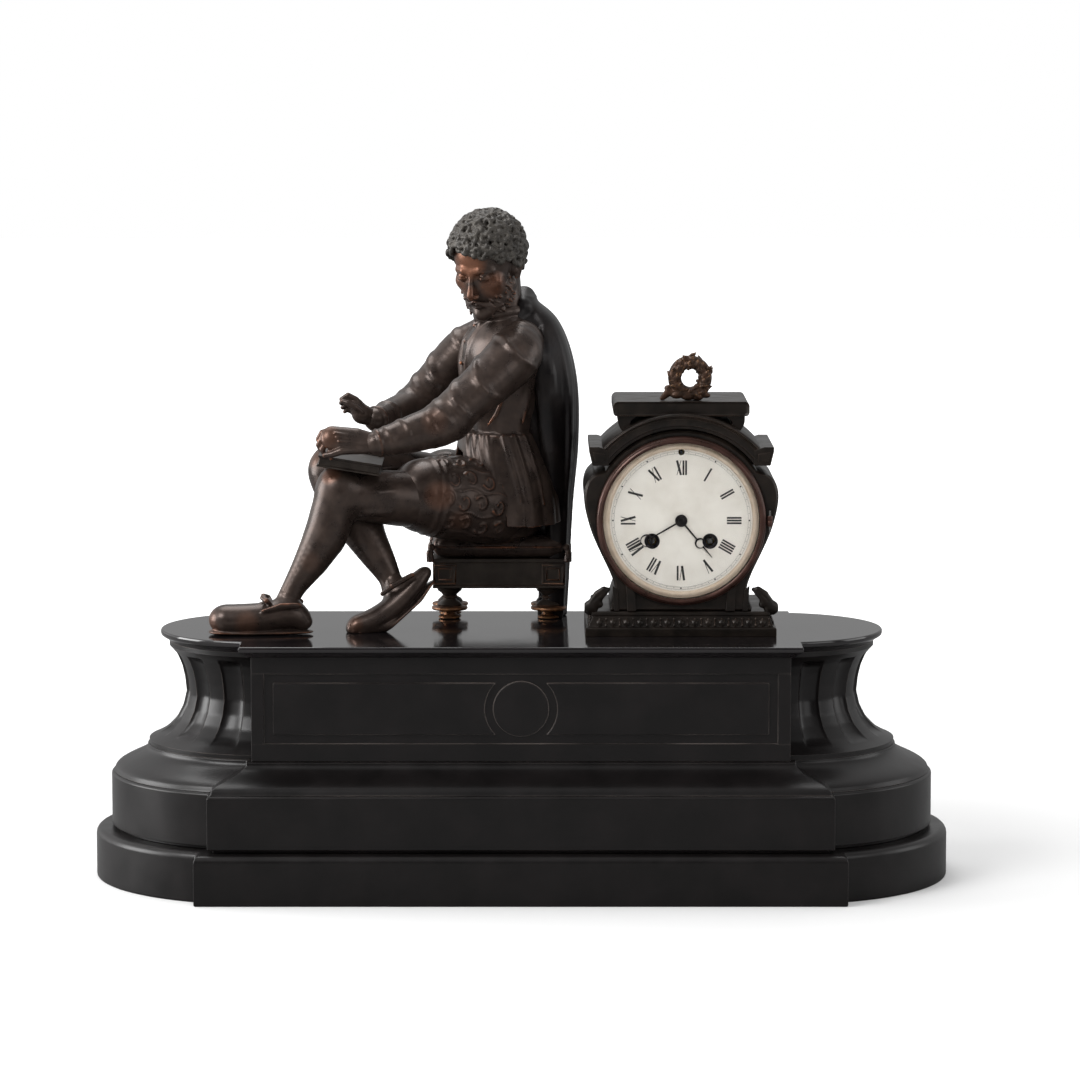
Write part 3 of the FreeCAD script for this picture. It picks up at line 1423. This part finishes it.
def make_hands():
    hour_front = value(dial_face - S.hand_gap - S.hand_thickness)
    minute_front = value(dial_face - (S.hand_gap + S.hand_thickness) * 2)
    make_hand("hour_hand", S.hour_hand_length, S.hour_moon_distance, S.hour_moon_radius, S.hour_angle,
              value(S.hour_pipe_radius), hour_front)
    make_hand("minute_hand", S.minute_hand_length, S.minute_moon_distance, S.minute_moon_radius,
              S.minute_angle, value(S.cannon_pipe_radius), minute_front)


def case_outline():
    """Right half of the case front from its foot up to the neck, as (half width, height)."""
    floor = -value(S.dial_rise)
    foot = value(S.scroll_half_width)
    waist = value(S.waist_half_width)
    lobe = value(S.lobe_half_width)
    drop = value(S.waist_drop)
    scroll = value(S.scroll_height)
    corners = [(foot, floor), (foot, floor + scroll * 0.33), (waist + (foot - waist) * 0.36, floor + scroll * 0.72),
               (waist, -drop)]
    swell_shares = [(0.27, 0.66), (0.53, 0.42), (0.76, 0.18)]
    for out, down in swell_shares:
        corners.append((waist + (lobe - waist) * out, -drop * down))
    rise = value(S.lobe_rise)
    top = value(S.lobe_top_rise)
    corners = corners + [(lobe, rise), (lobe, rise + (top - rise) * 0.3),
                         (value(S.lobe_top_half_width), top)]
    neck = value(S.arch_radius - S.neck_inset)
    corners.append((neck, math.sqrt(value(S.arch_radius) ** 2 - neck ** 2)))
    return corners


def hinge_axis(ring_radius, face, outwards):
    """Centre of a hinge barrel beside a round cover; outwards is -1 at the front, 1 at the back."""
    return (value(ring_radius + S.hinge_reach), value(face) + outwards * value(S.hinge_radius))


def upright_rod(x, y, radius, low, high):
    centre = clock_point(x, y, low)
    return post(centre.x, centre.y, radius, centre.z, centre.z + high - low)


def hinge_barrel(axis):
    """Middle knuckle with its web, for the cover that swings."""
    half = value(S.hinge_half_length)
    web = value(S.hinge_web)
    knuckle = upright_rod(axis[0], axis[1], value(S.hinge_radius), -half, half)
    start = axis[0] - value(S.hinge_reach + S.hinge_root)
    plate = Part.makeBox(axis[0] - start, 2 * web, 2 * half, clock_point(start, axis[1] - web, -half))
    return knuckle.fuse(plate)


def hinge_lugs(axis, face):
    """Outer knuckles with their webs, standing on the face behind the cover."""
    half = value(S.hinge_half_length + S.hinge_end_gap)
    tall = value(S.hinge_lug)
    web = value(S.hinge_web)
    lugs = []
    for low in (half, -half - tall):
        lugs.append(upright_rod(axis[0], axis[1], value(S.hinge_radius), low, low + tall))
        front = min(axis[1], face)
        lugs.append(Part.makeBox(2 * web, abs(face - axis[1]), tall, clock_point(axis[0] - web, front, low)))
    return lugs


def hinge_bore(axis, clearance):
    reach = value(S.hinge_half_length + S.hinge_end_gap + S.hinge_lug)
    return upright_rod(axis[0], axis[1], around(value(S.hinge_pin_radius) + clearance), -reach, reach)


def make_case():
    well = box("base_well", S.well_half_width * 2, S.well_half_depth * 2, case_floor - plinth_top
               + S.cut_overrun * 2, S.clock_x - S.well_half_width, -S.well_half_depth, plinth_top - S.cut_overrun)
    rod_bore = cylinder("base_rod_bore", around(S.rod_radius + S.rod_fit), S.rod_engagement + S.rod_end_gap,
                        S.clock_x + S.case_rod_offset, 0, plinth_top)
    wide = value(S.base_half_width)
    deep = value(S.base_half_depth)
    run = value(S.base_leaf_run)
    rings = []
    leaf_shares = [(0.0, 0.0), (0.25, 0.10), (0.6, 0.55), (1.0, 1.0)]
    levels = [(0, 0)] + [(value(S.base_foot_height + S.base_leaf_height * rise), run * inset)
                         for rise, inset in leaf_shares]
    for height, inset in levels:
        rings.append([V(value(S.clock_x) + (wide - inset) * x, (deep - inset) * y, value(plinth_top) + height)
                      for x, y in ((-1, -1), (1, -1), (1, 1), (-1, 1))])
    subpart(cut("case_base", form("base_block", faced_stack(rings)), [well, rod_bore]))

    right = case_outline()
    front = value(case_front)
    depth = 2 * value(S.case_half_depth)
    edges = []
    right_spots = [clock_point(x, front, z) for x, z in right]
    left_spots = [clock_point(-x, front, z) for x, z in right]
    for spots in (right_spots, left_spots):
        for low, high in zip(spots, spots[1:]):
            edges.append(Part.LineSegment(low, high).toShape())
    edges.append(Part.LineSegment(left_spots[0], right_spots[0]).toShape())
    crown = clock_point(0, front, value(S.arch_radius))
    edges.append(Part.Arc(right_spots[-1], crown, left_spots[-1]).toShape())
    outline = Part.Wire(Part.__sortEdges__(edges))
    block = Part.Face(outline).extrude(V(0, depth, 0))
    block = block.cut(rod(centre_place, around(value(S.mouth_radius)), front, front + depth))
    lower_well = Part.makeBox(2 * value(S.well_half_width), 2 * value(S.well_half_depth),
                              value(S.well_head) + value(S.cut_overrun),
                              clock_point(-value(S.well_half_width), -value(S.well_half_depth),
                                          -value(S.dial_rise + S.cut_overrun)))
    block = block.cut(lower_well)
    axis = hinge_axis(S.bezel_radius, case_front - S.bezel_gap, -1)
    block = block.fuse(hinge_lugs(axis, front)).cut(hinge_bore(axis, value(S.rod_fit)))
    subpart(form("case_body", block))

    hood_front = value(case_front - S.hood_proud)
    hood_back = value(S.case_half_depth)
    inner = value(S.arch_radius + S.hood_fit)
    outer = value(hood_radius)
    spread = value(S.hood_spread_angle)
    start_angle = 90 - spread
    ends = [turned_place(reach, angle) for reach, angle in
            ((inner, start_angle), (outer, start_angle), (outer, 90 + spread), (inner, 90 + spread))]
    ends = [clock_point(x, hood_front, z) for x, z in ends]
    arch = Part.Wire([Part.LineSegment(ends[0], ends[1]).toShape(),
                      Part.Arc(ends[1], clock_point(0, hood_front, outer), ends[2]).toShape(),
                      Part.LineSegment(ends[2], ends[3]).toShape(),
                      Part.Arc(ends[3], clock_point(0, hood_front, inner), ends[0]).toShape()])
    hood = Part.Face(arch).extrude(V(0, hood_back - hood_front, 0))
    blocks = []
    for left in (-value(S.shoulder_half_width), value(S.shoulder_half_width - S.shoulder_width)):
        blocks.append(Part.makeBox(value(S.shoulder_width), hood_back - hood_front, value(S.shoulder_height),
                                   clock_point(left, hood_front, value(S.shoulder_low))))
    hood = hood.fuse(blocks).cut(rod(centre_place, inner, hood_front, hood_back))
    subpart(form("case_hood", main_solid(hood)))

    cap_x = S.clock_x - S.cap_half_width
    slab = box("cap_slab", S.cap_half_width * 2, S.cap_half_depth * 2, S.cap_height, cap_x,
               -S.cap_half_depth, dial_z + cap_low)
    pieces = [slab]
    for side, x in (("left", cap_x + S.cap_bracket_inset),
                    ("right", S.clock_x + S.cap_half_width - S.cap_bracket_inset - S.cap_bracket_width)):
        pieces.append(box("cap_bracket_" + side, S.cap_bracket_width, S.cap_half_depth * 2
                          - S.cap_bracket_inset * 2, S.cap_bracket_height, x,
                          -S.cap_half_depth + S.cap_bracket_inset, dial_z + cap_low - S.cap_bracket_height))
    arch_cut = cylinder("cap_arch_cut", hood_radius + S.hood_fit, S.case_half_depth * 2 + S.cut_overrun * 2,
                        S.clock_x, -S.case_half_depth - S.cut_overrun, dial_z, ALONG_Y)
    subpart(cut("case_cap", fuse("cap_with_brackets", pieces), [arch_cut]))


def make_wreath():
    """A leafy ring: overlapping pointed leaves lie round a flat band."""
    top = value(cap_low + S.cap_height)
    middle = clock_point(value(S.wreath_x), value(S.wreath_y), top + value(S.wreath_rise))
    half = value(S.wreath_thickness) / 2
    half_band = value(S.wreath_band) / 2
    radius = value(S.wreath_radius)
    front = middle - V(0, half, 0)
    bands = []
    for reach in (radius + half_band, radius - half_band):
        corners = ring(front, reach, V(1, 0, 0), UP, 1, LIMB_SIDES)
        bands.append(Part.Face(Part.makePolygon(corners + corners[:1])).extrude(V(0, 2 * half, 0)))
    wreath = bands[0].cut(bands[1])
    leaf = value(S.wreath_leaf)
    wide = value(S.wreath_leaf_width)
    for index in range(LIMB_SIDES):
        turn = 2 * math.pi * (index + 0.5) / LIMB_SIDES
        out = V(math.cos(turn), 0, math.sin(turn))
        along = (V(-math.sin(turn), 0, math.cos(turn)) + out * WREATH_LEAF_SLANT_SHARE).normalize()
        across = V(0, 1, 0).cross(along)
        centre = middle + out * radius
        girth = [centre + across * wide, centre + V(0, half * 1.4, 0), centre - across * wide,
                 centre - V(0, half * 1.4, 0)]
        wreath = wreath.fuse(pointed_leaf(centre - along * leaf, girth, centre + along * leaf))
    floor = Part.makeBox(8 * radius, 8 * radius, 8 * radius,
                         V(middle.x - 4 * radius, middle.y - 4 * radius, value(dial_z) + top))
    subpart(form("wreath", main_solid(wreath.common(floor))))


def pointed_leaf(tail, girth, tip):
    faces = []
    for index in range(len(girth)):
        after = girth[(index + 1) % len(girth)]
        for point in (tail, tip):
            faces.append(Part.Face(Part.makePolygon([point, girth[index], after, point])))
    solid = Part.Solid(Part.Shell(faces))
    if solid.Volume < 0:
        solid.reverse()
    return solid


def round_frame(label, outer, inner, front, depth):
    """A flat ring about the dial's axis."""
    disc = cylinder(label + "_disc", outer, depth, S.clock_x, front, dial_z, ALONG_Y)
    eye = cylinder(label + "_eye", around(inner), depth + S.cut_overrun * 2, S.clock_x,
                   front - S.cut_overrun, dial_z, ALONG_Y)
    return cut(label, disc, [eye])


def make_dial():
    disc = cylinder("dial_disc", S.dial_radius, S.dial_thickness, S.clock_x, dial_face, dial_z, ALONG_Y)
    feet = []
    for index, angle in enumerate(DIAL_FOOT_ANGLES):
        x, z = turned_place(1, angle)
        feet.append(cylinder("dial_foot_%d" % index, S.dial_foot_radius, S.motion_space,
                             S.clock_x + S.dial_foot_circle * x, dial_back,
                             dial_z + S.dial_foot_circle * z, ALONG_Y))
    holes = []
    for name, x, z, radius in (("centre", 0, 0, S.centre_hole_radius),
                               ("going", S.winding_offset, -S.winding_drop, S.winding_hole_radius),
                               ("strike", -S.winding_offset, -S.winding_drop, S.winding_hole_radius),
                               ("regulator", 0, S.regulator_rise, S.regulator_hole_radius)):
        holes.append(cylinder("dial_hole_" + name, radius, S.dial_thickness + S.cut_overrun * 2,
                              S.clock_x + x, dial_face - S.cut_overrun, dial_z + z, ALONG_Y))
    subpart(cut("dial", fuse("dial_with_feet", [disc] + feet), holes))

    subpart(round_frame("sight_ring", S.mouth_radius - S.sight_ring_fit, S.sight_radius,
                        dial_face - S.sight_ring_height, S.sight_ring_height))
    bezel_back = case_front - S.bezel_gap
    bezel_front = bezel_back - S.bezel_height
    lip = round_frame("bezel_lip", S.bezel_radius, S.bezel_inner_radius, bezel_front, S.bezel_lip)
    rim = round_frame("bezel_rim", S.bezel_radius, S.glass_radius, bezel_front + S.bezel_lip,
                      S.bezel_height - S.bezel_lip)
    doc.recompute()
    axis = hinge_axis(S.bezel_radius, bezel_back, -1)
    hung = lip.Shape.fuse([rim.Shape, hinge_barrel(axis)])
    subpart(form("bezel", hung.cut(hinge_bore(axis, value(S.hinge_running_clearance))).removeSplitter()))
    subpart(cylinder("bezel_glass", S.glass_radius - S.glass_fit, S.glass_thickness, S.clock_x,
                     bezel_front + S.bezel_lip, dial_z, ALONG_Y))

    ring_front = value(S.case_half_depth)
    ring_back = value(S.case_half_depth + S.back_ring_height)
    back_ring = rod(centre_place, value(S.back_ring_radius), ring_front, ring_back)
    back_ring = back_ring.cut(rod(centre_place, value(S.back_ring_inner), ring_front, ring_back))
    straps = []
    for side in (-1, 1):
        left = side * value(S.strap_place) - (value(S.strap_thickness) if side < 0 else 0)
        straps.append(Part.makeBox(value(S.strap_thickness), ring_front - value(dial_back),
                                   2 * value(S.strap_half_width),
                                   clock_point(left, value(dial_back), -value(S.strap_half_width))))
    door_face = S.case_half_depth + S.back_ring_height + S.door_gap
    door_axis = hinge_axis(S.door_radius, door_face, 1)
    back_ring = back_ring.fuse(straps + hinge_lugs(door_axis, ring_back))
    subpart(form("back_ring", back_ring.cut(hinge_bore(door_axis, value(S.rod_fit)))))
    door = rod(centre_place, value(S.door_radius), value(door_face), value(door_face + S.door_thickness))
    door = door.fuse(hinge_barrel(door_axis))
    subpart(form("rear_door", door.cut(hinge_bore(door_axis, value(S.hinge_running_clearance)))))

    reach = value(S.hinge_half_length + S.hinge_end_gap + S.hinge_lug)
    pins = [upright_rod(x, y, value(S.hinge_pin_radius), -reach, reach) for x, y in (axis, door_axis)]
    subpart(form("hinge_pins", Part.makeCompound(pins)))


make_plinth()
make_rods()
make_stool()
make_figure()
make_case()
make_wreath()
make_dial()
make_hands()
make_plates()
make_train()
make_winding()
make_escapement()
make_bell()

doc.recompute()
failed = [piece.Name for piece in doc.Objects if "Invalid" in piece.State or "Error" in piece.State]
failed = failed + [piece.Label for piece in SUBPARTS if piece.Shape.isNull() or not piece.Shape.isValid()]
if failed:
    raise RuntimeError("these pieces failed: " + ", ".join(failed))
os.makedirs("parts", exist_ok=True)
for piece in SUBPARTS:
    piece.Shape.exportStep("parts/" + piece.Label + ".step")
